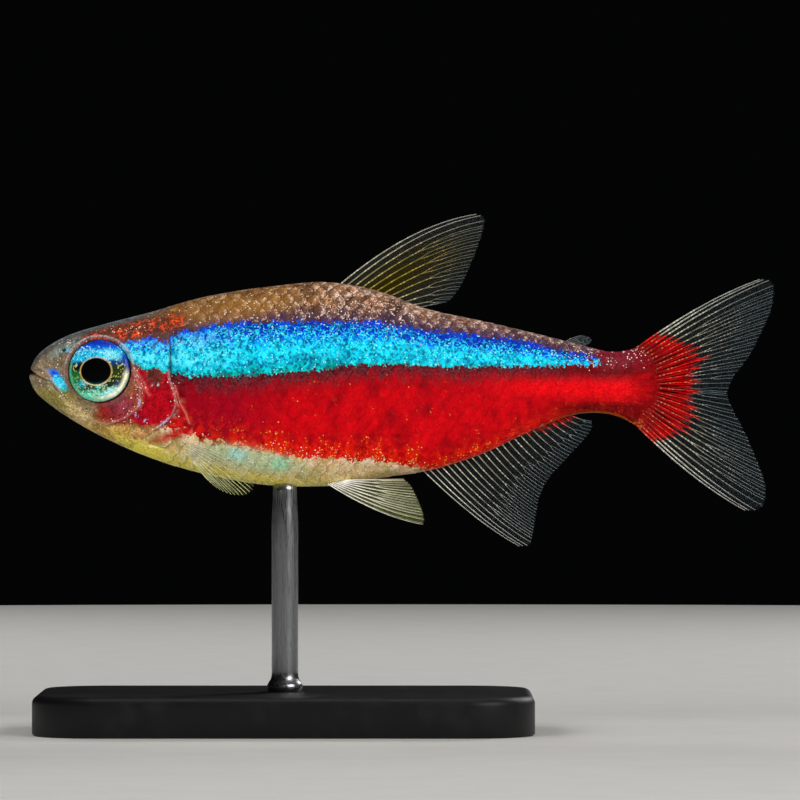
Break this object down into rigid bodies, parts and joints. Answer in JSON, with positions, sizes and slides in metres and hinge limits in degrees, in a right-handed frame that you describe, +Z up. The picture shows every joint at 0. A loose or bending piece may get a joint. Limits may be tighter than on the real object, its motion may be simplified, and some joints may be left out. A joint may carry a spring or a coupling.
{
  "type": "cardinal tetra display model",
  "caption": "Life-size still model of a small slender tropical fish, held level over a flat stand base by a short rod.",
  "frame": {"origin": "middle of the underside, at floor level below the middle of the length", "axes": "the fish faces -X, +X towards its tail, +Y towards its right side, +Z up"},
  "size_m": [0.045, 0.018, 0.0312],
  "materials": {
    "skin": "moist fish skin with fine scales, painted in life colours",
    "eye": "wet, clear and glossy",
    "fin": "thin clear membrane over fine pale rays",
    "stand_base": "black acrylic, satin",
    "stand_rod": "brushed"
  },
  "bodies": {
    "root": {"head": "skin", "lower_jaw": "skin", "gill_cover_left": "skin", "gill_cover_right": "skin", "trunk": "skin", "tail_stalk": "skin", "eye_left": "eye", "eye_right": "eye", "dorsal_fin": "fin", "adipose_fin": "fin", "anal_fin": "fin", "caudal_fin_upper": "fin", "caudal_fin_lower": "fin", "pectoral_fin_left": "fin", "pectoral_fin_right": "fin", "pelvic_fin_left": "fin", "pelvic_fin_right": "fin", "stand_base": "stand_base", "stand_rod": "stand_rod"}
  },
  "joints": []
}
